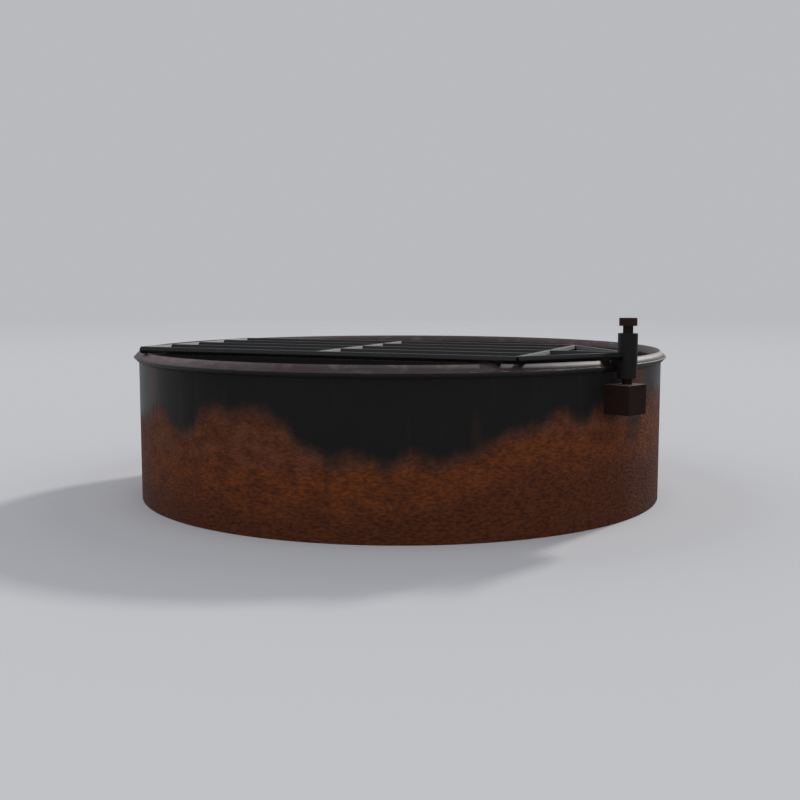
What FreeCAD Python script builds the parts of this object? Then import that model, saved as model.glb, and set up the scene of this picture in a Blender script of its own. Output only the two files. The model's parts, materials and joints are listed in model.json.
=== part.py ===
"""Campfire ring: a rolled plate hoop with a capped rim, and a cooking grate that swings and lifts on a pin.

Millimetres, +Z up. The origin is on the ring's axis, on the ground. +X points at the hinge.
"""

import FreeCAD, Part
import os
import Sketcher

doc = FreeCAD.newDocument("campfire_ring")

# Driving dimensions, in millimetres and degrees
SIZES = {
    # ring
    "ring_diameter": 914.4,
    "ring_height": 254.0,
    "wall_thickness": 5.0,
    "rim_bar": 16.0,
    "rim_corner": 0.4,
    "rim_slot_depth": 6.0,
    "slot_play": 0.2,
    # grate
    "bar_flats": 11.0,
    "bar_pitch": 81.0,
    "near_reach": 121.0,
    "crossbar_spacing": 315.0,
    "far_overlap": 9.3,
    "rest_gap": 0.3,
    "swing_angle": 22.2,
    # sleeve and pin
    "pin_diameter": 15.0,
    "pin_play": 0.1,
    "sleeve_wall": 7.0,
    "sleeve_height": 67.0,
    "hinge_clearance": 0.6,
    "lift_travel": 11.0,
    "drop_gap": 9.0,
    "head_diameter": 26.4,
    "head_height": 11.5,
    # lower end of the pin, inside the block
    "pin_seat_depth": 17.0,
    "neck_height": 14.2,
    "stud_diameter": 10.0,
    "stud_play": 0.3,
    "stud_end": 1.5,
    "nut_flats": 16.0,
    "nut_height": 8.0,
    "nut_gap": 0.3,
    "thread_play": 0.05,
    "pin_washer_diameter": 20.0,
    "pin_washer_thickness": 2.0,
    "recess_play": 1.0,
    "recess_cover": 1.5,
    # block and its bolts
    "block_reach": 19.0,
    "bolt_diameter": 8.0,
    "bolt_play": 0.1,
    "bolt_web": 2.4,
    "bolt_edge": 4.4,
    "bolt_grip": 18.0,
    "bolt_hole_play": 0.5,
    "bolt_head_flats": 13.0,
    "bolt_head_height": 5.3,
    "bolt_washer_diameter": 16.0,
    "bolt_washer_thickness": 1.6,
}

# Places and sizes that follow from the driving dimensions, each worked out from the ones above it
LAYOUT = {
    # ring
    "wall_outer": "Sizes.ring_diameter / 2",
    "wall_inner": "wall_outer - Sizes.wall_thickness",
    "rim_radius": "wall_outer - Sizes.wall_thickness / 2",
    "rim_half": "Sizes.rim_bar / sqrt(2)",
    "rim_rounding": "Sizes.rim_corner * (sqrt(2) - 1)",
    "rim_trim": "Sizes.rim_corner / sqrt(2)",
    "rim_level": "Sizes.ring_height - rim_half + rim_rounding",
    "rim_tip": "rim_radius + rim_half - rim_rounding",
    "slot_half": "Sizes.wall_thickness / 2 + Sizes.slot_play",
    "slot_lip": "rim_level - rim_half + slot_half",
    "wall_top": "slot_lip + Sizes.rim_slot_depth",
    # sleeve, and the pin's axis just outside the rim
    "pin_radius": "Sizes.pin_diameter / 2",
    "bore_radius": "pin_radius + Sizes.pin_play",
    "sleeve_radius": "bore_radius + Sizes.sleeve_wall",
    "hinge_x": "rim_tip + Sizes.hinge_clearance + sleeve_radius",
    "bar_level": "Sizes.ring_height + Sizes.rest_gap + Sizes.bar_flats / 2",
    "sleeve_top": "bar_level + Sizes.sleeve_height / 2",
    "sleeve_bottom": "bar_level - Sizes.sleeve_height / 2",
    # grate, seen from the pin's axis: x along the centre bar, y to the front
    "grate_turn": "180 + Sizes.swing_angle",
    "outer_side": "2 * Sizes.bar_pitch",
    "mid_reach": "Sizes.near_reach + Sizes.crossbar_spacing",
    # the ring's axis in the same view, and the point where the front bar meets the rim's ridge
    "axis_reach": "hinge_x * cos(Sizes.swing_angle * 1 deg)",
    "axis_side": "-hinge_x * sin(Sizes.swing_angle * 1 deg)",
    "ridge_reach": "axis_reach + sqrt(rim_radius ^ 2 - (outer_side - axis_side) ^ 2)",
    "far_reach": "ridge_reach + Sizes.far_overlap",
    # the side arms in the same view
    "arm_angle": "atan2(outer_side; Sizes.near_reach)",
    "arm_length": "sqrt(Sizes.near_reach ^ 2 + outer_side ^ 2)",
    # pin, from its head down
    "head_bottom": "sleeve_top + Sizes.lift_travel",
    "head_top": "head_bottom + Sizes.head_height",
    "head_radius": "Sizes.head_diameter / 2",
    "block_top": "sleeve_bottom - Sizes.drop_gap",
    "pin_seat": "block_top - Sizes.pin_seat_depth",
    "recess_top": "pin_seat - Sizes.neck_height",
    "washer_top": "recess_top - Sizes.nut_gap",
    "nut_top": "washer_top - Sizes.pin_washer_thickness",
    "nut_bottom": "nut_top - Sizes.nut_height",
    "stud_bottom": "nut_bottom - Sizes.stud_end",
    "stud_radius": "Sizes.stud_diameter / 2",
    "neck_radius": "stud_radius + Sizes.stud_play",
    "thread_radius": "stud_radius + Sizes.thread_play",
    "pin_washer_radius": "Sizes.pin_washer_diameter / 2",
    "recess_radius": "pin_washer_radius + Sizes.recess_play",
    # block and its bolts
    "block_bottom": "stud_bottom - Sizes.recess_cover",
    "block_height": "block_top - block_bottom",
    "block_outer": "hinge_x + Sizes.block_reach",
    "bolt_radius": "Sizes.bolt_diameter / 2",
    "tapped_radius": "bolt_radius + Sizes.bolt_play",
    "wall_hole_radius": "bolt_radius + Sizes.bolt_hole_play",
    "bolt_side": "bore_radius + Sizes.bolt_web + tapped_radius",
    "block_half": "bolt_side + tapped_radius + Sizes.bolt_edge",
    "bolt_level": "(block_top + recess_top) / 2",
    "bolt_washer_radius": "Sizes.bolt_washer_diameter / 2",
    "bolt_washer_seat": "sqrt(wall_inner ^ 2 - (bolt_side + bolt_washer_radius) ^ 2)",
    "bolt_washer_face": "bolt_washer_seat - Sizes.bolt_washer_thickness",
    "bolt_head_face": "bolt_washer_face - Sizes.bolt_head_height",
    "bolt_tip": "wall_outer + Sizes.bolt_grip",
}


def fill_sheet(name, cells):
    sheet = doc.addObject("Spreadsheet::Sheet", name)
    for row, (alias, text) in enumerate(cells.items(), start=1):
        sheet.set(f"A{row}", alias)
        sheet.set(f"B{row}", text)
        sheet.setAlias(f"B{row}", alias)
    doc.recompute()


fill_sheet("Sizes", {alias: str(value) for alias, value in SIZES.items()})
fill_sheet("Layout", {alias: f"={formula}" for alias, formula in LAYOUT.items()})

nodes = []

# The least share of a body's volume that a real cut takes away
LEAST_CUT = 1e-6

# The long bars' places from front to rear, in pitches from the centre bar
LONG_BARS = (2, 1, 0, -1, -2)


def new_body(label):
    body = doc.addObject("PartDesign::Body", label)
    body.Label = label
    nodes.append(body)
    return body


def hang_on_pin(body):
    """Places a grate piece, drawn about the pin's axis at the bars' mid-height."""
    body.setExpression("Placement.Base.x", "Layout.hinge_x")
    body.setExpression("Placement.Base.z", "Layout.bar_level")
    body.setExpression("Placement.Rotation.Angle", "Layout.grate_turn")


def new_sketch(body, plane, shift="0"):
    """A sketch on one of the body's own planes, moved along that plane's normal."""
    sketch = body.newObject("Sketcher::SketchObject", f"{body.Name}_sketch")
    planes = {feature.Role: feature for feature in body.Origin.OriginFeatures}
    sketch.AttachmentSupport = [(planes[plane], "")]
    sketch.MapMode = "FlatFace"
    sketch.setExpression("AttachmentOffset.Base.z", shift)
    doc.recompute()
    return sketch


def turn_sketch(sketch, upright, angle):
    """Turns a sketch about its own upright, which points up (1) or down (-1)."""
    sketch.AttachmentOffset = FreeCAD.Placement(
        FreeCAD.Vector(), FreeCAD.Rotation(FreeCAD.Vector(0, upright, 0), sketch.evalExpression(angle))
    )
    sketch.setExpression("AttachmentOffset.Rotation.Angle", angle)
    doc.recompute()


def bind(sketch, kind, expression, *where):
    index = sketch.addConstraint(Sketcher.Constraint(kind, *where, float(sketch.evalExpression(expression))))
    sketch.setExpression(f"Constraints[{index}]", expression)


def place(sketch, x, y):
    return FreeCAD.Vector(float(sketch.evalExpression(x)), float(sketch.evalExpression(y)), 0)


def bulge(start, end, radius):
    """The arc from start to end, to the right of the straight way between them."""
    chord = end - start
    rise = radius - (radius**2 - (chord.Length / 2) ** 2) ** 0.5
    outward = FreeCAD.Vector(chord.y, -chord.x, 0).normalize()
    return Part.Arc(start, start + chord / 2 + outward * rise, end)


def draw_outline(sketch, corners, rounding="0", rounded=()):
    """A closed outline, each corner held at its two expressions.

    The edges are straight, apart from the ones numbered in rounded: these are arcs of the rounding's radius,
    on an outline that runs counter-clockwise.
    """
    points = [place(sketch, x, y) for x, y in corners]
    edges = []
    for i, point in enumerate(points):
        following = points[(i + 1) % len(points)]
        if i in rounded:
            curve = bulge(point, following, float(sketch.evalExpression(rounding)))
        else:
            curve = Part.LineSegment(point, following)
        edges.append(sketch.addGeometry(curve))
    for i, edge in enumerate(edges):
        sketch.addConstraint(Sketcher.Constraint("Coincident", edge, 2, edges[(i + 1) % len(edges)], 1))
    for edge, (x, y) in zip(edges, corners):
        bind(sketch, "DistanceX", x, -1, 1, edge, 1)
        bind(sketch, "DistanceY", y, -1, 1, edge, 1)
    for i in rounded:
        bind(sketch, "Radius", rounding, edges[i])


def draw_circle(sketch, radius, x="0", y="0"):
    start = float(sketch.evalExpression(radius))
    edge = sketch.addGeometry(Part.Circle(place(sketch, x, y), FreeCAD.Vector(0, 0, 1), start))
    bind(sketch, "DistanceX", x, -1, 1, edge, 3)
    bind(sketch, "DistanceY", y, -1, 1, edge, 3)
    bind(sketch, "Radius", radius, edge)


def draw_hexagon(sketch, flats, x="0", y="0"):
    """A regular hexagon with a flat on top and a flat below."""
    half = f"{flats} / sqrt(3)"
    draw_outline(
        sketch,
        [
            (f"{x} + {half}", y),
            (f"{x} + {half} / 2", f"{y} + {flats} / 2"),
            (f"{x} - {half} / 2", f"{y} + {flats} / 2"),
            (f"{x} - {half}", y),
            (f"{x} - {half} / 2", f"{y} - {flats} / 2"),
            (f"{x} + {half} / 2", f"{y} - {flats} / 2"),
        ],
    )


def pad(body, sketch, length):
    feature = body.newObject("PartDesign::Pad", f"{body.Name}_pad")
    feature.Profile = sketch
    feature.setExpression("Length", length)
    doc.recompute()
    return feature


def pocket(body, sketch, along=None):
    """Cuts right through the body: both ways from the sketch, or only along its normal, or against it."""
    before = body.Shape.Volume
    feature = body.newObject("PartDesign::Pocket", f"{body.Name}_pocket")
    feature.Profile = sketch
    feature.Type = "ThroughAll"
    if along is None:
        feature.SideType = "Symmetric"
    else:
        feature.Reversed = along
    doc.recompute()
    if feature.Shape.Volume > before * (1 - LEAST_CUT):
        raise RuntimeError(f"{body.Label}: a pocket cuts nothing")
    return feature


def revolve(body, sketch):
    feature = body.newObject("PartDesign::Revolution", f"{body.Name}_revolution")
    feature.Profile = sketch
    feature.ReferenceAxis = (sketch, ["V_Axis"])
    feature.Angle = 360
    doc.recompute()
    return feature


# Ring

def make_ring_wall():
    body = new_body("ring_wall")
    plan = new_sketch(body, "XY_Plane")
    draw_circle(plan, "Layout.wall_outer")
    draw_circle(plan, "Layout.wall_inner")
    pad(body, plan, "Layout.wall_top")
    bolt_holes = new_sketch(body, "YZ_Plane")
    for side in ("", "-"):
        draw_circle(bolt_holes, "Layout.wall_hole_radius", f"{side}Layout.bolt_side", "Layout.bolt_level")
    pocket(body, bolt_holes, along=True)


def make_rim_hoop():
    """A square bar on edge, slotted from below over the wall, with its three free corners rounded."""
    body = new_body("rim_hoop")
    section = new_sketch(body, "XZ_Plane")
    draw_outline(
        section,
        [
            ("Layout.rim_radius + Layout.rim_half - Layout.rim_trim", "Layout.rim_level - Layout.rim_trim"),
            ("Layout.rim_radius + Layout.rim_half - Layout.rim_trim", "Layout.rim_level + Layout.rim_trim"),
            ("Layout.rim_radius + Layout.rim_trim", "Layout.rim_level + Layout.rim_half - Layout.rim_trim"),
            ("Layout.rim_radius - Layout.rim_trim", "Layout.rim_level + Layout.rim_half - Layout.rim_trim"),
            ("Layout.rim_radius - Layout.rim_half + Layout.rim_trim", "Layout.rim_level + Layout.rim_trim"),
            ("Layout.rim_radius - Layout.rim_half + Layout.rim_trim", "Layout.rim_level - Layout.rim_trim"),
            ("Layout.rim_radius - Layout.slot_half", "Layout.slot_lip"),
            ("Layout.rim_radius - Layout.slot_half", "Layout.wall_top"),
            ("Layout.rim_radius + Layout.slot_half", "Layout.wall_top"),
            ("Layout.rim_radius + Layout.slot_half", "Layout.slot_lip"),
        ],
        rounding="Sizes.rim_corner",
        rounded=(0, 2, 4),
    )
    revolve(body, section)


def make_hinge_block():
    body = new_body("hinge_block")
    plan = new_sketch(body, "XY_Plane", "Layout.block_bottom")
    draw_outline(
        plan,
        [
            ("Layout.wall_inner", "-Layout.block_half"),
            ("Layout.block_outer", "-Layout.block_half"),
            ("Layout.block_outer", "Layout.block_half"),
            ("Layout.wall_inner", "Layout.block_half"),
        ],
    )
    pad(body, plan, "Layout.block_height")
    saddle = new_sketch(body, "XY_Plane")
    draw_circle(saddle, "Layout.wall_outer")
    pocket(body, saddle, along=True)
    for radius, bottom, along in (
        ("Layout.neck_radius", "Layout.block_bottom", True),
        ("Layout.bore_radius", "Layout.pin_seat", True),
        ("Layout.recess_radius", "Layout.recess_top", False),
    ):
        hole = new_sketch(body, "XY_Plane", bottom)
        draw_circle(hole, radius, "Layout.hinge_x")
        pocket(body, hole, along)
    tapped = new_sketch(body, "YZ_Plane", "Layout.bolt_tip")
    for side in ("", "-"):
        draw_circle(tapped, "Layout.tapped_radius", f"{side}Layout.bolt_side", "Layout.bolt_level")
    pocket(body, tapped, along=False)


def make_block_bolts():
    body = new_body("block_bolts")
    heads = new_sketch(body, "YZ_Plane", "Layout.bolt_head_face")
    shanks = new_sketch(body, "YZ_Plane", "Layout.bolt_washer_face")
    for side in ("", "-"):
        draw_hexagon(heads, "Sizes.bolt_head_flats", f"{side}Layout.bolt_side", "Layout.bolt_level")
        draw_circle(shanks, "Layout.bolt_radius", f"{side}Layout.bolt_side", "Layout.bolt_level")
    pad(body, heads, "Sizes.bolt_head_height")
    pad(body, shanks, "Layout.bolt_tip - Layout.bolt_washer_face")


def make_block_washers():
    body = new_body("block_washers")
    rings = new_sketch(body, "YZ_Plane", "Layout.bolt_washer_face")
    for side in ("", "-"):
        for radius in ("Layout.bolt_washer_radius", "Layout.wall_hole_radius"):
            draw_circle(rings, radius, f"{side}Layout.bolt_side", "Layout.bolt_level")
    pad(body, rings, "Sizes.bolt_washer_thickness")


# Pivot

def make_pivot_pin():
    """Head, shank through the sleeve, seat in the block, and a threaded stud below the seat."""
    body = new_body("pivot_pin")
    body.setExpression("Placement.Base.x", "Layout.hinge_x")
    section = new_sketch(body, "XZ_Plane")
    draw_outline(
        section,
        [
            ("0", "Layout.stud_bottom"),
            ("Layout.stud_radius", "Layout.stud_bottom"),
            ("Layout.stud_radius", "Layout.pin_seat"),
            ("Layout.pin_radius", "Layout.pin_seat"),
            ("Layout.pin_radius", "Layout.head_bottom"),
            ("Layout.head_radius", "Layout.head_bottom"),
            ("Layout.head_radius", "Layout.head_top"),
            ("0", "Layout.head_top"),
        ],
    )
    revolve(body, section)


def make_pin_washer():
    body = new_body("pin_washer")
    body.setExpression("Placement.Base.x", "Layout.hinge_x")
    ring = new_sketch(body, "XY_Plane", "Layout.nut_top")
    draw_circle(ring, "Layout.pin_washer_radius")
    draw_circle(ring, "Layout.neck_radius")
    pad(body, ring, "Sizes.pin_washer_thickness")


def make_pin_nut():
    body = new_body("pin_nut")
    body.setExpression("Placement.Base.x", "Layout.hinge_x")
    plan = new_sketch(body, "XY_Plane", "Layout.nut_bottom")
    draw_hexagon(plan, "Sizes.nut_flats")
    draw_circle(plan, "Layout.thread_radius")
    pad(body, plan, "Sizes.nut_height")


# Grate

def make_hinge_sleeve():
    body = new_body("hinge_sleeve")
    hang_on_pin(body)
    plan = new_sketch(body, "XY_Plane", "-Sizes.sleeve_height / 2")
    draw_circle(plan, "Layout.sleeve_radius")
    draw_circle(plan, "Layout.bore_radius")
    pad(body, plan, "Sizes.sleeve_height")


def make_outer_bar(label, side):
    """A long bar at the grate's edge, square at both ends, from one end crossbar's axis to the other's."""
    body = new_body(label)
    hang_on_pin(body)
    section = new_sketch(body, "YZ_Plane", "Sizes.near_reach")
    draw_hexagon(section, "Sizes.bar_flats", side)
    pad(body, section, "Layout.far_reach - Sizes.near_reach")


def make_inner_bar(label, side):
    """A long bar between the two end crossbars, its ends cut to their sides."""
    body = new_body(label)
    hang_on_pin(body)
    section = new_sketch(body, "YZ_Plane", "Sizes.near_reach")
    draw_hexagon(section, "Sizes.bar_flats", side)
    pad(body, section, "Layout.far_reach - Sizes.near_reach")
    crossbars = new_sketch(body, "XZ_Plane")
    for reach in ("Sizes.near_reach", "Layout.far_reach"):
        draw_hexagon(crossbars, "Sizes.bar_flats", reach)
    pocket(body, crossbars)


def make_crossbar(label, reach, front, rear, along=None):
    """A bar across the grate, its ends cut to the sides of the long bars that it meets."""
    body = new_body(label)
    hang_on_pin(body)
    section = new_sketch(body, "XZ_Plane", f"-({front})")
    draw_hexagon(section, "Sizes.bar_flats", reach)
    pad(body, section, f"{front} - ({rear})")
    long_bars = new_sketch(body, "YZ_Plane", reach)
    for side in (front, rear):
        draw_hexagon(long_bars, "Sizes.bar_flats", f"({side})")
    pocket(body, long_bars, along)


def cut_to_sleeve(body):
    sleeve = new_sketch(body, "XY_Plane")
    draw_circle(sleeve, "Layout.sleeve_radius")
    pocket(body, sleeve)


def make_centre_arm():
    body = new_body("centre_arm")
    hang_on_pin(body)
    section = new_sketch(body, "YZ_Plane")
    draw_hexagon(section, "Sizes.bar_flats")
    pad(body, section, "Sizes.near_reach")
    cut_to_sleeve(body)
    crossbar = new_sketch(body, "XZ_Plane")
    draw_hexagon(crossbar, "Sizes.bar_flats", "Sizes.near_reach")
    pocket(body, crossbar)


def make_side_arm(label, front):
    """A bar from the sleeve to a corner of the frame, cut to everything that it meets on the way."""
    body = new_body(label)
    hang_on_pin(body)
    section = new_sketch(body, "YZ_Plane")
    turn_sketch(section, 1 if front else -1, "Layout.arm_angle")
    draw_hexagon(section, "Sizes.bar_flats")
    pad(body, section, "Layout.arm_length")
    centre_arm = new_sketch(body, "YZ_Plane")
    draw_hexagon(centre_arm, "Sizes.bar_flats")
    pocket(body, centre_arm)
    cut_to_sleeve(body)
    crossbar = new_sketch(body, "XZ_Plane", "-Layout.outer_side" if front else "Layout.outer_side")
    draw_hexagon(crossbar, "Sizes.bar_flats", "Sizes.near_reach")
    pocket(body, crossbar, along=front)


make_ring_wall()
make_rim_hoop()
make_hinge_block()
make_block_bolts()
make_block_washers()

make_pivot_pin()
make_pin_washer()
make_pin_nut()

make_hinge_sleeve()
make_outer_bar("front_bar", "Layout.outer_side")
make_inner_bar("front_inner_bar", "Sizes.bar_pitch")
make_inner_bar("centre_bar", "0")
make_inner_bar("rear_inner_bar", "-Sizes.bar_pitch")
make_outer_bar("rear_bar", "-Layout.outer_side")
make_crossbar("near_crossbar", "Sizes.near_reach", "Layout.outer_side", "-Layout.outer_side", along=True)
make_crossbar("far_crossbar", "Layout.far_reach", "Layout.outer_side", "-Layout.outer_side", along=False)
for number, (front, rear) in enumerate(zip(LONG_BARS, LONG_BARS[1:]), start=1):
    make_crossbar(
        f"middle_spacer_{number}",
        "Layout.mid_reach",
        f"{front} * Sizes.bar_pitch",
        f"{rear} * Sizes.bar_pitch",
    )
make_centre_arm()
make_side_arm("front_arm", front=True)
make_side_arm("rear_arm", front=False)

doc.recompute()

for item in doc.Objects:
    if "Invalid" in item.State or "Error" in item.State:
        raise RuntimeError(f"{item.Label} failed: {item.State}")
for body in nodes:
    if body.Shape.isNull() or not body.Shape.isValid() or not body.Shape.Solids:
        raise RuntimeError(f"{body.Label} has no valid shape")

os.makedirs("parts", exist_ok=True)
for body in nodes:
    body.Shape.exportStep(f"parts/{body.Label}.step")
    print(f"{body.Label}: {len(body.Shape.Solids)} solid(s), {body.Shape.Volume / 1000:.1f} cm3")
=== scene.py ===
"""Campfire ring in a plain studio: rusted wall, black with soot above, worn rim and blackened grate.

Metres, +Z up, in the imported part's frame: the origin is on the ring's axis, on the ground,
and +X points at the hinge. Angles about the ring's axis are given in degrees from +X.
"""

import json
import math

import bpy
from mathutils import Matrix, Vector


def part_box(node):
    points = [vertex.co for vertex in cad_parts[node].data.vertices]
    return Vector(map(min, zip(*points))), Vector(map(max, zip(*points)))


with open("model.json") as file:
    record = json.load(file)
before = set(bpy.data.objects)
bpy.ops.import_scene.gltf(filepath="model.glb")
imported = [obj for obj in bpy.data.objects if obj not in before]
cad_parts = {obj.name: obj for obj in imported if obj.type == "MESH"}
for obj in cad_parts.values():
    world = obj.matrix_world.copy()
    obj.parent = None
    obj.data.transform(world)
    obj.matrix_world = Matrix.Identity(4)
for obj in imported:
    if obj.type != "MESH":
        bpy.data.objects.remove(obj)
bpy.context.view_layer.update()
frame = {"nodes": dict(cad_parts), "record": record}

MM = 0.001

# Sizes read from the frame
rim_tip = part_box("rim_hoop")[1].x
ring_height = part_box("rim_hoop")[1].z
wall_radii = [vertex.co.xy.length for vertex in frame["nodes"]["ring_wall"].data.vertices]
wall_middle = (min(wall_radii) + max(wall_radii)) / 2
rim_level = ring_height - (rim_tip - wall_middle)
pin_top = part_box("pivot_pin")[1].z
block_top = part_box("hinge_block")[1].z

# Edges of the steel pieces, rounded by handling and heat
EDGE_ROUNDING = {
    "wall_steel": 0.8 * MM,
    "grate_steel": 0.5 * MM,
    "hinge_steel": 0.6 * MM,
    "hardware": 0.3 * MM,
}
EDGE_SEGMENTS = 2
SHARP_EDGE = math.radians(30)
WELD_DISTANCE = 0.002 * MM

# How far the rim's shading leans from a round bar's towards its flat facets
FACET_LEAN = 4.5 * MM

# Height of the soot's lower border round the wall, as degrees and millimetres above the ground
SOOT_BORDER = (
    (-180, 150),
    (-150, 165),
    (-128, 138),
    (-114, 150),
    (-108, 150),
    (-102, 175),
    (-96, 154),
    (-92, 140),
    (-88, 142),
    (-83, 184),
    (-77, 180),
    (-72, 182),
    (-67, 172),
    (-65, 160),
    (-62, 133),
    (-59, 131),
    (-56, 116),
    (-52, 121),
    (-48, 112),
    (-42, 126),
    (-38, 113),
    (-34, 125),
    (-28, 136),
    (-26, 149),
    (-19, 163),
    (-14, 179),
    (-10, 166),
    # Near -5 degrees, beside the hinge block, the soot is drawn lower, partly as painted shade of the block
    (-5, 180),
    (4, 180),
    (12, 180),
    (17, 192),
    (40, 172),
    (75, 120),
    (105, 165),
    (140, 128),
    (180, 150),
)
BORDER_RAGGEDNESS = 22 * MM
BORDER_FADE = (-18 * MM, 24 * MM)
RAGGED_SIZE = 38 * MM

# Middle height of the brightest rust round the wall, in the same units
BRIGHT_BAND = (
    (-180, 95),
    (-90, 80),
    (-45, 82),
    (-30, 108),
    (-14, 130),
    (20, 125),
    (90, 90),
    (180, 95),
)
BAND_RAGGEDNESS = 45 * MM

# The wall's rust, young above that height and dark below it, each as its darker and its paler flecks
YOUNG_RUST = ((0.112, 0.0335, 0.015, 1), (0.185, 0.0545, 0.0195, 1))
BRIGHT_RUST = ((0.102, 0.0238, 0.005, 1), (0.221, 0.0527, 0.008, 1))
DARK_RUST = ((0.059, 0.0144, 0.005, 1), (0.142, 0.035, 0.009, 1))
YOUNG_TO_BRIGHT = (-40 * MM, -10 * MM)
BRIGHT_TO_DARK = (8 * MM, 50 * MM)
GRAIN_SIZE = 8 * MM
GRAIN_DEPTH = 3.4 * MM
FLECK_RANGE = (0.28, 0.72)
BLOT_SIZE = 26 * MM
BLOT_RANGE = (0.38, 0.6)
BLOT_STRENGTH = 0.75
PATCH_SIZE = 60 * MM

# Soot on the wall's outside
SOOT = ((0.0140, 0.0140, 0.0138, 1), (0.0170, 0.0165, 0.0163, 1))

# Rust that has run down over the soot: streaks, upright strips as degrees and strength,
# and the heights between which the strips fade out downwards
RUST_STAIN = (0.088, 0.035, 0.016, 1)
STREAK_SIZE = 16 * MM
STREAK_RANGE = (0.55, 0.8)
STREAK_STRENGTH = 0.18
STAINED_STRIPS = (
    ((4, 9, 11, 16), 1.0),
    ((-109, -105, -103, -99), 0.45),
)
STRIP_FADE = (165 * MM, 195 * MM)

# Soot and painted shade of the hinge block drawn down over the rust under it: degrees, heights over which it
# fades out, strength
SOOT_AND_SHADE_STREAK = (4, 7, 8.5, 12)
SOOT_AND_SHADE_FADE = (85 * MM, 160 * MM)
SOOT_AND_SHADE_STRENGTH = 0.6

# The wall's inside: burnt black, with ash baked on below
BURNT = (0.015, 0.0147, 0.0142, 1)
ASH = ((0.018, 0.011, 0.008, 1), (0.060, 0.045, 0.036, 1))
ASH_RAGGEDNESS = 70 * MM
ASH_FADE = (150 * MM, 30 * MM)

# The rim's oxide, as the colour on its crest and at its edges, the crest darker partly as painted shade
# against the sky's light on it, and its bare spots
RED_BROWN = ((0.040, 0.007, 0.0065, 1), (0.074, 0.026, 0.025, 1))
GREY_BROWN = ((0.030, 0.016, 0.015, 1), (0.064, 0.045, 0.042, 1))
OXIDE_SIZE = 9 * MM
OXIDE_RANGE = (0.38, 0.62)
BARE_SPOT = (0.130, 0.092, 0.088, 1)
BARE_SIZE = 12 * MM
BARE_RANGE = (0.54, 0.70)
BARE_STRENGTH = 0.6

# The rim's most worn stretch, where rust wears less than the rest, and the painted shadow of the hinge's
# sleeve and arms on the rim beside the hinge, in degrees
WORN_STRETCH = (-122, -108, -93, -62)
WORN_STEEL = (0.165, 0.108, 0.106, 1)
WEAR_OF_RUST = 0.45
HINGE_PAINTED_SHADOW = (-4.4, -3.7, 3, 6)
PAINTED_SHADOW_COLOUR = (0.12, 0.082, 0.066, 1)

# Painted shade on the rim's lower outside, the burr along its outer edge, and its fine relief, in metres
RIM_PAINTED_SHADE = (0.014, 0.014, 0.014, 1)
RIM_PAINTED_SHADE_FADE = (rim_level + 3.5 * MM, rim_level - 4 * MM)
BURR_REACH = (rim_tip - 1.6 * MM, rim_tip - 0.5 * MM)
BURR_HEIGHT = 1.5 * MM
RIM_RELIEF = 0.2 * MM
METRES = 1.0

# The grate's black, how its undersides are smoother, and the pieces that are duller than the rest
GRATE_BLACK = ((0.0005, 0.001, 0.001, 1), (0.002, 0.002, 0.002, 1))
UNDERSIDE = (-0.2, -0.45)
UNDERSIDE_ROUGHNESS = 0.45
GRATE_GLOSS = 1.0
SOOTY_GLOSS = 0.65
SOOTY_PIECES = ("hinge_sleeve", "front_arm")

# The hinge's rust, paler on the pin's head, and painted light on the block's sunlit top
HINGE_RUST = ((0.019, 0.0065, 0.005, 1), (0.034, 0.0125, 0.0095, 1))
HEAD_RUST = (0.036, 0.013, 0.011, 1)
HEAD_FADE = (pin_top - 16 * MM, pin_top - 10 * MM)
BLOCK_TOP_PAINTED_LIGHT = (0.16, 0.125, 0.115, 1)
PAINTED_LIGHT_DEPTH = 0.3 * MM

# Bolts, washers and nut
ZINC = (0.13, 0.125, 0.12, 1)
ZINC_STAIN = (0.05, 0.025, 0.015, 1)

# Camera
CAMERA_AZIMUTH = math.radians(45.4)
CAMERA_DISTANCE = 1.9414
CAMERA_HEIGHT = 0.3620
CAMERA_PITCH = math.radians(6.008)
CAMERA_LENS = 48.53

# Soft light from all round, the backdrop, and what the steel mirrors
HORIZON_LIGHT = (0.39, 0.40, 0.425, 1)
ZENITH_LIGHT = (0.865, 0.88, 0.93, 1)
BACKDROP_COLOUR = (0.485, 0.491, 0.515, 1)
BACKDROP_AZIMUTH = math.radians(140.5)
BACKDROP_FADE = (0.10, 1.0)
REFLECTED_ROOM = (0.08, 0.081, 0.084, 1)
REFLECTED_BELOW = (0.010, 0.0101, 0.0105, 1)
GROUND_FADE = (-0.8, -0.35)

# Key light
SUN_AZIMUTH = math.radians(96.4)
SUN_ELEVATION = math.radians(35)
SUN_ANGLE = 0.11
SUN_STRENGTH = 1.55
SUN_COLOUR = (1.0, 0.985, 0.96)

# Floor, painted lighter close to the ring against the ring's shade on it
FLOOR_COLOUR = (0.54, 0.541, 0.548, 1)
FLOOR_PAINTED_LIGHT = (0.62, 0.622, 0.63, 1)
FLOOR_PAINTED_LIGHT_REACH = 0.15
FLOOR_HALF = 14.0
FLOOR_CORNERS = ((-1, -1), (1, -1), (1, 1), (-1, 1))
FLOOR_FADE = (3.4, 10.5)
FLOOR_DROP = 0.2 * MM

# Sockets of the mix node that belong to colours
MIX_SHARE, MIX_FIRST, MIX_SECOND, MIX_RESULT = 0, 6, 7, 2


# Short calls for the nodes that the materials share

def add_node(tree, kind, inputs=None, **settings):
    """A shader node with its settings, its inputs joined to other nodes' outputs or set to plain values."""
    node = tree.nodes.new(f"ShaderNode{kind}")
    for name, value in settings.items():
        setattr(node, name, value)
    for name, value in (inputs or {}).items():
        if isinstance(value, bpy.types.NodeSocket):
            tree.links.new(value, node.inputs[name])
        else:
            node.inputs[name].default_value = value
    return node


def calculate(tree, operation, *terms):
    return add_node(tree, "Math", dict(enumerate(terms)), operation=operation).outputs[0]


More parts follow.
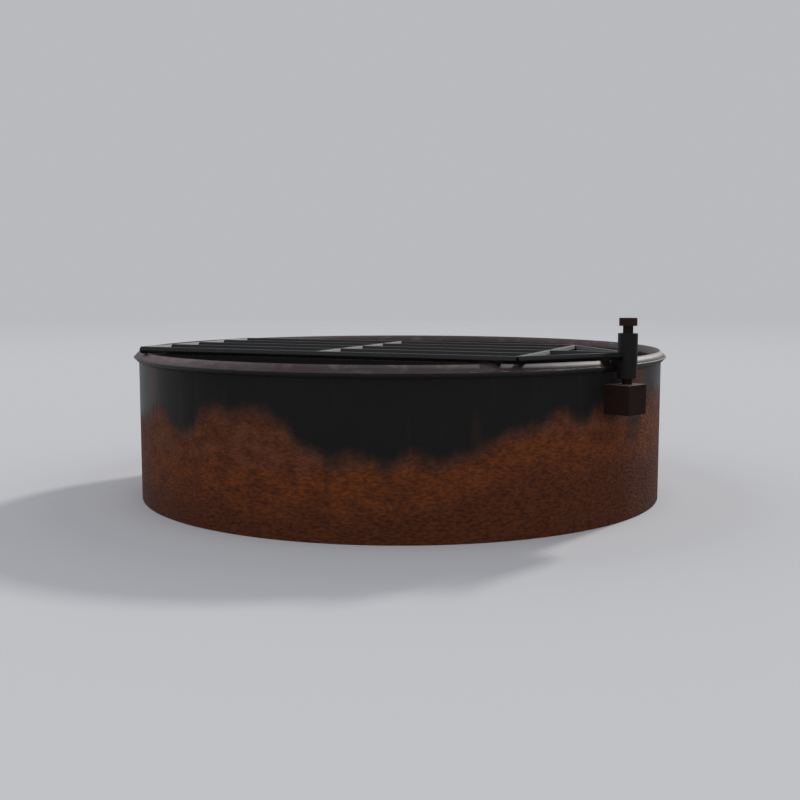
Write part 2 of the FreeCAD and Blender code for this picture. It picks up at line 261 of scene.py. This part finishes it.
def soft_step(tree, value, low, high):
    """A smooth change from 0 at low to 1 at high; where low is above high, it falls as the value rises."""
    inputs = {"Value": value, "From Min": low, "From Max": high}
    return add_node(tree, "MapRange", inputs, interpolation_type="SMOOTHSTEP").outputs["Result"]


def spread(tree, value, low, high):
    """Takes a value of 0 to 1 to the range from low to high."""
    return add_node(tree, "MapRange", {"Value": value, "To Min": low, "To Max": high}).outputs["Result"]


def mix(tree, share, first, second):
    """The first colour where share is 0 and the second where it is 1."""
    inputs = {MIX_SHARE: share, MIX_FIRST: first, MIX_SECOND: second}
    return add_node(tree, "Mix", inputs, data_type="RGBA").outputs[MIX_RESULT]


def stretch(tree, place, *scales):
    inputs = {0: place, 1: scales}
    return add_node(tree, "VectorMath", inputs, operation="MULTIPLY").outputs["Vector"]


def noise(tree, place, size, detail=2.0, roughness=0.5):
    """Soft random values round 0.5, in blots of about the given size."""
    inputs = {"Vector": place, "Scale": 1 / size, "Detail": detail, "Roughness": roughness}
    return add_node(tree, "TexNoise", inputs).outputs["Fac"]


def bump(tree, height, depth):
    return add_node(tree, "Bump", {"Height": height, "Distance": depth}).outputs["Normal"]


def new_material(name):
    material = bpy.data.materials.new(name)
    material.use_nodes = True
    tree = material.node_tree
    tree.nodes.clear()
    place = add_node(tree, "TexCoord").outputs["Object"]
    return material, tree, place


def finish_surface(tree, **inputs):
    """Ends a material in one principled shader, whose inputs are named with underscores for spaces."""
    sockets = {name.replace("_", " "): value for name, value in inputs.items()}
    shader = add_node(tree, "BsdfPrincipled", sockets)
    add_node(tree, "OutputMaterial", {"Surface": shader.outputs["BSDF"]})


# Places on the ring

def round_the_ring(tree, place):
    """Distance from the ring's axis, angle about it and height above the ground."""
    parts = add_node(tree, "SeparateXYZ", {"Vector": place}).outputs
    flat = stretch(tree, place, 1, 1, 0)
    radius = add_node(tree, "VectorMath", {0: flat}, operation="LENGTH").outputs["Value"]
    angle = calculate(tree, "ARCTAN2", parts["Y"], parts["X"])
    return radius, angle, parts["Z"]


def height_curve(tree, angle, points):
    """Height at an angle about the ring's axis, on a smooth curve through degrees and millimetres."""
    turn = calculate(tree, "MULTIPLY_ADD", angle, 1 / math.tau, 0.5)
    node = add_node(tree, "FloatCurve", {"Value": turn})
    curve = node.mapping.curves[0]
    shares = [(degrees / 360 + 0.5, height * MM / ring_height) for degrees, height in points]
    while len(curve.points) < len(shares):
        curve.points.new(0.5, 0.5)
    for point, share in zip(curve.points, shares):
        point.location = share
    node.mapping.update()
    return calculate(tree, "MULTIPLY", node.outputs["Value"], ring_height)


def ragged_height(tree, height, raggedness, random):
    """A height that random values of 0 to 1 move up or down by as much as the raggedness."""
    return calculate(tree, "ADD", height, spread(tree, random, -raggedness, raggedness))


def upright_strip(tree, angle, degrees):
    """1 in a strip of the ring's round that begins and ends softly at the given degrees."""
    first, full, fading, last = (math.radians(degree) for degree in degrees)
    begun = soft_step(tree, angle, first, full)
    ended = soft_step(tree, angle, fading, last)
    return calculate(tree, "SUBTRACT", begun, ended)


# Wall

def wall_rust(tree, place, angle, height, flecks, patches):
    """Rust that is young under the soot, bright in a band below it, and dark at the foot and in blots."""
    band = ragged_height(tree, height_curve(tree, angle, BRIGHT_BAND), BAND_RAGGEDNESS, patches)
    below_band = calculate(tree, "SUBTRACT", band, height)
    young = mix(tree, flecks, *YOUNG_RUST)
    bright = mix(tree, flecks, *BRIGHT_RUST)
    dark = mix(tree, flecks, *DARK_RUST)
    clouds = noise(tree, stretch(tree, place, 1, 1, 1.4), BLOT_SIZE, detail=3)
    blots = spread(tree, soft_step(tree, clouds, *BLOT_RANGE), BLOT_STRENGTH, 0)
    darkening = calculate(tree, "MAXIMUM", soft_step(tree, below_band, *BRIGHT_TO_DARK), blots)
    colour = mix(tree, soft_step(tree, below_band, *YOUNG_TO_BRIGHT), young, bright)
    return mix(tree, darkening, colour, dark)


def wall_soot(tree, place, angle, height, patches):
    """Soot with faint streaks of rust down it, and a few strips where more rust has run."""
    streaks = noise(tree, stretch(tree, place, 1, 1, 0.12), STREAK_SIZE, detail=3)
    stain_and_shadow = calculate(tree, "MULTIPLY", soft_step(tree, streaks, *STREAK_RANGE), STREAK_STRENGTH)
    high = soft_step(tree, height, *STRIP_FADE)
    for degrees, strength in STAINED_STRIPS:
        strip = calculate(tree, "MULTIPLY", upright_strip(tree, angle, degrees), strength)
        stain_and_shadow = calculate(tree, "MAXIMUM", stain_and_shadow, calculate(tree, "MULTIPLY", strip, high))
    return mix(tree, stain_and_shadow, mix(tree, patches, *SOOT), RUST_STAIN)


def make_wall_steel():
    """Rusted plate, smoked black from the top down to a ragged border, and burnt over ash inside."""
    material, tree, place = new_material("wall_steel")
    radius, angle, height = round_the_ring(tree, place)
    ragged = noise(tree, stretch(tree, place, 1, 1, 0.4), RAGGED_SIZE, detail=4, roughness=0.6)
    grain = noise(tree, stretch(tree, place, 1, 1, 2.2), GRAIN_SIZE, detail=3, roughness=0.6)
    flecks = soft_step(tree, grain, *FLECK_RANGE)
    patches = noise(tree, place, PATCH_SIZE, detail=3)

    border = ragged_height(tree, height_curve(tree, angle, SOOT_BORDER), BORDER_RAGGEDNESS, ragged)
    rust = soft_step(tree, calculate(tree, "SUBTRACT", border, height), *BORDER_FADE)
    inside = calculate(tree, "LESS_THAN", radius, wall_middle)
    # A streak under the hinge block, partly soot and partly painted shade of the block, darkens the rust
    painted_shade = calculate(tree, "MULTIPLY", upright_strip(tree, angle, SOOT_AND_SHADE_STREAK), SOOT_AND_SHADE_STRENGTH)
    painted_shade = calculate(tree, "MULTIPLY", painted_shade, soft_step(tree, height, *SOOT_AND_SHADE_FADE))
    rust = calculate(tree, "SUBTRACT", rust, calculate(tree, "MAXIMUM", painted_shade, inside))

    ash = calculate(tree, "SUBTRACT", height, spread(tree, ragged, -ASH_RAGGEDNESS, ASH_RAGGEDNESS))
    ash = calculate(tree, "MULTIPLY", soft_step(tree, ash, *ASH_FADE), inside)
    burnt = mix(tree, ash, BURNT, mix(tree, flecks, *ASH))
    black = mix(tree, inside, wall_soot(tree, place, angle, height, patches), burnt)
    rough = calculate(tree, "MAXIMUM", rust, ash)
    finish_surface(
        tree,
        Base_Color=mix(tree, rust, black, wall_rust(tree, place, angle, height, flecks, patches)),
        Roughness=spread(tree, rough, 0.38, 0.68),
        Specular_IOR_Level=0.2,
        Normal=bump(tree, calculate(tree, "MULTIPLY", grain, rough), GRAIN_DEPTH),
    )
    return material


# Rim

def rim_oxide(tree, place, radius, angle, rust):
    """Red and grey brown oxide, paler towards the edges by wear and darker on the crest as painted shade,
    with bare spots and one stretch worn bare.
    """
    from_crest = calculate(tree, "ABSOLUTE", calculate(tree, "SUBTRACT", radius, wall_middle))
    # Paler towards the edges by wear; darker on the crest, which faces the bright sky, as painted shade
    edge_wear_and_crest_shade = soft_step(tree, from_crest, 0, rim_tip - wall_middle)
    brown = mix(tree, rust, mix(tree, edge_wear_and_crest_shade, *GREY_BROWN), mix(tree, edge_wear_and_crest_shade, *RED_BROWN))
    spots = noise(tree, stretch(tree, place, 0.5, 0.5, 1), BARE_SIZE, detail=3)
    bare = calculate(tree, "MULTIPLY", soft_step(tree, spots, *BARE_RANGE), BARE_STRENGTH)
    brown = mix(tree, bare, brown, BARE_SPOT)
    wear = upright_strip(tree, angle, WORN_STRETCH)
    wear = calculate(tree, "MULTIPLY", wear, spread(tree, rust, 1, WEAR_OF_RUST))
    return mix(tree, wear, brown, WORN_STEEL)


def make_rim_steel():
    """Worn oxide in level patches, with painted shade on its lower outside and a painted shadow beside the
    hinge.
    """
    material, tree, place = new_material("rim_steel")
    radius, angle, height = round_the_ring(tree, place)
    patches = noise(tree, stretch(tree, place, 0.3, 0.3, 1), OXIDE_SIZE, detail=4, roughness=0.65)
    brown = rim_oxide(tree, place, radius, angle, soft_step(tree, patches, *OXIDE_RANGE))
    outside = calculate(tree, "GREATER_THAN", radius, wall_middle)
    # Painted shade on the rim's lower outside, darker downwards from just above its outer edge
    painted_shade = calculate(tree, "MULTIPLY", soft_step(tree, height, *RIM_PAINTED_SHADE_FADE), outside)
    # A painted shadow of the hinge's sleeve and arms on the rim beside the hinge: dark, metallic and rough
    stain_and_shadow = upright_strip(tree, angle, HINGE_PAINTED_SHADOW)
    black = calculate(tree, "MAXIMUM", painted_shade, stain_and_shadow)
    fine = noise(tree, place, 3 * MM, detail=3)
    relief = calculate(tree, "MULTIPLY", fine, RIM_RELIEF)
    relief = calculate(tree, "MULTIPLY_ADD", soft_step(tree, radius, *BURR_REACH), BURR_HEIGHT, relief)
    finish_surface(
        tree,
        Base_Color=mix(tree, black, brown, mix(tree, stain_and_shadow, RIM_PAINTED_SHADE, PAINTED_SHADOW_COLOUR)),
        Metallic=stain_and_shadow,
        Roughness=calculate(tree, "MAXIMUM", spread(tree, patches, 0.52, 0.60), stain_and_shadow),
        IOR=1.6,
        Specular_IOR_Level=1.0,
        Normal=bump(tree, relief, METRES),
    )
    return material


# Grate, hinge and hardware

def make_grate_steel(name, gloss):
    """Bars blackened by fire, with a faint scale on them and smoother undersides."""
    material, tree, place = new_material(name)
    patches = noise(tree, place, 30 * MM, detail=3)
    scale = noise(tree, place, 4 * MM, detail=3, roughness=0.6)
    facing = add_node(tree, "NewGeometry").outputs["Normal"]
    upward = add_node(tree, "SeparateXYZ", {"Vector": facing}).outputs["Z"]
    smoothing = spread(tree, soft_step(tree, upward, *UNDERSIDE), 1, UNDERSIDE_ROUGHNESS)
    finish_surface(
        tree,
        Base_Color=mix(tree, patches, *GRATE_BLACK),
        Roughness=calculate(tree, "MULTIPLY", spread(tree, scale, 0.53, 0.59), smoothing),
        IOR=1.65,
        Specular_IOR_Level=gloss,
        Normal=bump(tree, scale, 0.04 * MM),
    )
    return material


def make_hinge_steel():
    """Block and pin under an even dark brown rust, paler on the pin's head and painted lighter on the
    block's top as painted light.
    """
    material, tree, place = new_material("hinge_steel")
    patches = noise(tree, place, 16 * MM, detail=4, roughness=0.6)
    fine = noise(tree, place, 2.5 * MM, detail=3)
    height = add_node(tree, "SeparateXYZ", {"Vector": place}).outputs["Z"]
    rusted = mix(tree, patches, *HINGE_RUST)
    rusted = mix(tree, soft_step(tree, height, *HEAD_FADE), rusted, HEAD_RUST)
    # Painted light: the block's top face is coloured lighter, as the sunlight on it
    painted_top_light = calculate(tree, "COMPARE", height, block_top, PAINTED_LIGHT_DEPTH)
    finish_surface(
        tree,
        Base_Color=mix(tree, painted_top_light, rusted, BLOCK_TOP_PAINTED_LIGHT),
        Roughness=spread(tree, patches, 0.65, 0.8),
        Specular_IOR_Level=0.2,
        Normal=bump(tree, fine, 0.25 * MM),
    )
    return material


def make_hardware():
    """Dulled zinc with brown stains."""
    material, tree, place = new_material("hardware")
    stains = soft_step(tree, noise(tree, place, 7 * MM, detail=4), 0.4, 0.65)
    finish_surface(
        tree,
        Base_Color=mix(tree, stains, ZINC, ZINC_STAIN),
        Metallic=0.8,
        Roughness=spread(tree, stains, 0.4, 0.75),
    )
    return material


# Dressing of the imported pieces

def round_edges(piece, rounding):
    """Joins the faces along their seams and takes the sharpness off the edges."""
    weld = piece.modifiers.new("seams", "WELD")
    weld.merge_threshold = WELD_DISTANCE
    bevel = piece.modifiers.new("edges", "BEVEL")
    bevel.width = rounding
    bevel.segments = EDGE_SEGMENTS
    bevel.limit_method = "ANGLE"
    bevel.angle_limit = SHARP_EDGE
    piece.data.shade_smooth()
    piece.modifiers.new("shading", "WEIGHTED_NORMAL")


def shade_round(piece):
    """Shades the rim's square bar between a round bar and its own facets, with its shape left as it is."""
    mesh = piece.data
    normals = []
    for face in mesh.polygons:
        for loop in face.loop_indices:
            place = mesh.vertices[mesh.loops[loop].vertex_index].co
            outward = Vector((place.x, place.y, 0)).normalized()
            round_normal = place - outward * wall_middle - Vector((0, 0, rim_level))
            soft = (round_normal + face.normal * FACET_LEAN).normalized()
            normals.append(soft if soft.dot(face.normal) > 0 else face.normal)
    mesh.normals_split_custom_set(normals)


def dress_pieces():
    """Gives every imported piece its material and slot, and rounds its edges or, on the rim, its shading."""
    materials = {
        "wall_steel": make_wall_steel(),
        "rim_steel": make_rim_steel(),
        "grate_steel": make_grate_steel("grate_steel", GRATE_GLOSS),
        "hinge_steel": make_hinge_steel(),
        "hardware": make_hardware(),
    }
    sooty_steel = make_grate_steel("sooty_grate_steel", SOOTY_GLOSS)
    for subpart in frame["record"]["subparts"]:
        piece = frame["nodes"][subpart["node"]]
        slot = subpart["material_slot"]
        piece.data.materials.clear()
        piece.data.materials.append(sooty_steel if subpart["node"] in SOOTY_PIECES else materials[slot])
        if slot == "rim_steel":
            shade_round(piece)
        else:
            round_edges(piece, EDGE_ROUNDING[slot])


# Studio

def make_world():
    """Soft light, strongest from above, with the backdrop's colour where the camera sees it.

    The steel mirrors that backdrop too, behind the ring, and elsewhere a dim room over dark ground.
    """
    world = bpy.data.worlds.new("studio")
    bpy.context.scene.world = world
    world.use_nodes = True
    tree = world.node_tree
    tree.nodes.clear()
    path = add_node(tree, "LightPath").outputs
    direction = add_node(tree, "TexCoord").outputs["Generated"]
    rise = add_node(tree, "SeparateXYZ", {"Vector": direction}).outputs["Z"]
    glow = mix(tree, rise, HORIZON_LIGHT, ZENITH_LIGHT)
    to_backdrop = (math.cos(BACKDROP_AZIMUTH), math.sin(BACKDROP_AZIMUTH), 0)
    agreement = add_node(tree, "VectorMath", {0: direction, 1: to_backdrop}, operation="DOT_PRODUCT")
    behind = soft_step(tree, agreement.outputs["Value"], *BACKDROP_FADE)
    above = soft_step(tree, rise, *GROUND_FADE)
    facing = calculate(tree, "MULTIPLY", behind, above)
    mirrored = calculate(tree, "MULTIPLY", path["Is Glossy Ray"], facing)
    seen = calculate(tree, "MAXIMUM", path["Is Camera Ray"], path["Is Transmission Ray"])
    seen = calculate(tree, "MAXIMUM", seen, mirrored)
    room = mix(tree, above, REFLECTED_BELOW, REFLECTED_ROOM)
    colour = mix(tree, path["Is Glossy Ray"], glow, room)
    colour = mix(tree, seen, colour, BACKDROP_COLOUR)
    background = add_node(tree, "Background", {"Color": colour})
    add_node(tree, "OutputWorld", {"Surface": background.outputs[0]})


def make_floor():
    """A pale floor that fades into the backdrop with distance, painted lighter close to the ring against the
    ring's shade, and that the steel does not mirror.
    """
    corners = [(x * FLOOR_HALF, y * FLOOR_HALF, -FLOOR_DROP) for x, y in FLOOR_CORNERS]
    mesh = bpy.data.meshes.new("floor")
    mesh.from_pydata(corners, [], [range(len(corners))])
    floor = bpy.data.objects.new("floor", mesh)
    floor.visible_glossy = False
    bpy.context.scene.collection.objects.link(floor)
    material, tree, place = new_material("floor")
    distance = add_node(tree, "VectorMath", {0: place}, operation="LENGTH").outputs["Value"]
    start, end = FLOOR_FADE
    fade = add_node(tree, "MapRange", {"Value": distance, "From Min": start, "From Max": end})
    # Painted light: the floor is paler close to the ring, against the ring's shade on it
    away = soft_step(tree, distance, rim_tip, rim_tip + FLOOR_PAINTED_LIGHT_REACH)
    diffuse = add_node(tree, "BsdfDiffuse", {"Color": mix(tree, away, FLOOR_PAINTED_LIGHT, FLOOR_COLOUR)})
    clear = add_node(tree, "BsdfTransparent")
    shaders = {0: fade.outputs["Result"], 1: diffuse.outputs[0], 2: clear.outputs[0]}
    add_node(tree, "OutputMaterial", {"Surface": add_node(tree, "MixShader", shaders).outputs[0]})
    mesh.materials.append(material)


def make_sun():
    """The key light, from behind the ring on the right."""
    light = bpy.data.lights.new("key", "SUN")
    light.energy = SUN_STRENGTH
    light.angle = SUN_ANGLE
    light.color = SUN_COLOUR
    sun = bpy.data.objects.new("key", light)
    bpy.context.scene.collection.objects.link(sun)
    level = math.cos(SUN_ELEVATION)
    across = (level * math.cos(SUN_AZIMUTH), level * math.sin(SUN_AZIMUTH))
    towards = Vector((*across, math.sin(SUN_ELEVATION)))
    sun.rotation_mode = "QUATERNION"
    sun.rotation_quaternion = towards.to_track_quat("Z", "Y")


def make_camera():
    """The photo's camera, which looks at the ring's axis and a little down."""
    lens = bpy.data.cameras.new("camera")
    lens.lens = CAMERA_LENS
    camera = bpy.data.objects.new("camera", lens)
    bpy.context.scene.collection.objects.link(camera)
    camera.location = (
        CAMERA_DISTANCE * math.sin(CAMERA_AZIMUTH),
        -CAMERA_DISTANCE * math.cos(CAMERA_AZIMUTH),
        CAMERA_HEIGHT,
    )
    camera.rotation_euler = (math.pi / 2 - CAMERA_PITCH, 0, CAMERA_AZIMUTH)
    bpy.context.scene.camera = camera


dress_pieces()
make_world()
make_floor()
make_sun()
make_camera()
bpy.context.scene.view_settings.view_transform = "Standard"
